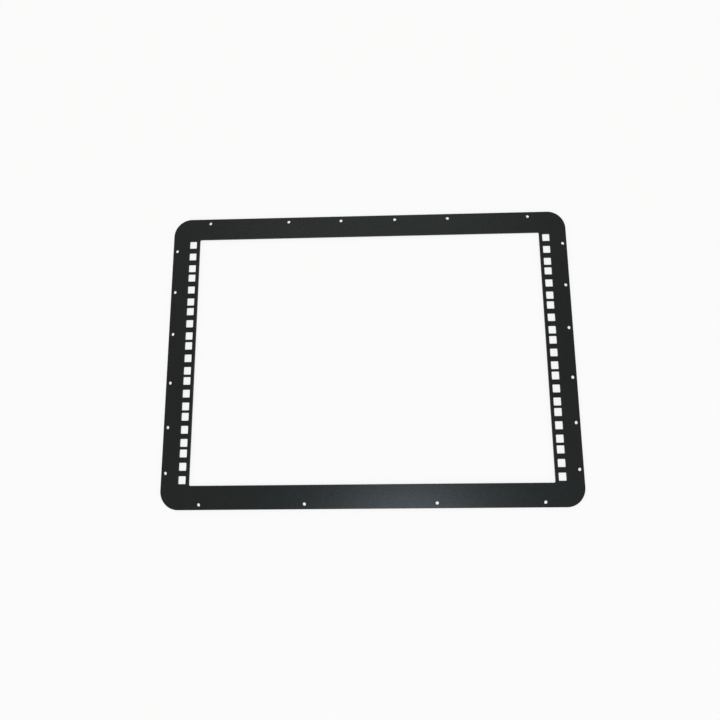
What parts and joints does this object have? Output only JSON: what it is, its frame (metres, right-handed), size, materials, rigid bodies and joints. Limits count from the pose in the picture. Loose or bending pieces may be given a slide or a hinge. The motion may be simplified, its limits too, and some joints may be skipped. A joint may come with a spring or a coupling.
{
  "type": "rack mounting frame",
  "caption": "Flat rectangular frame plate with round outer corners, a large equipment opening, a column of square cage-nut holes on each side and small round fixing holes round its rim.",
  "frame": {"origin": "centre of the back face, the face that the plate lies on", "axes": "+X along the top and bottom bars, to the right seen from the show face; +Y towards the top bar, the one with six rim holes; +Z out of the show face"},
  "size_m": [0.5172, 0.3682, 0.003],
  "materials": {
    "black_powder_coat": "satin black powder coat on steel, very fine texture"
  },
  "bodies": {
    "root": {"rack_frame_plate": "black_powder_coat"}
  },
  "joints": []
}
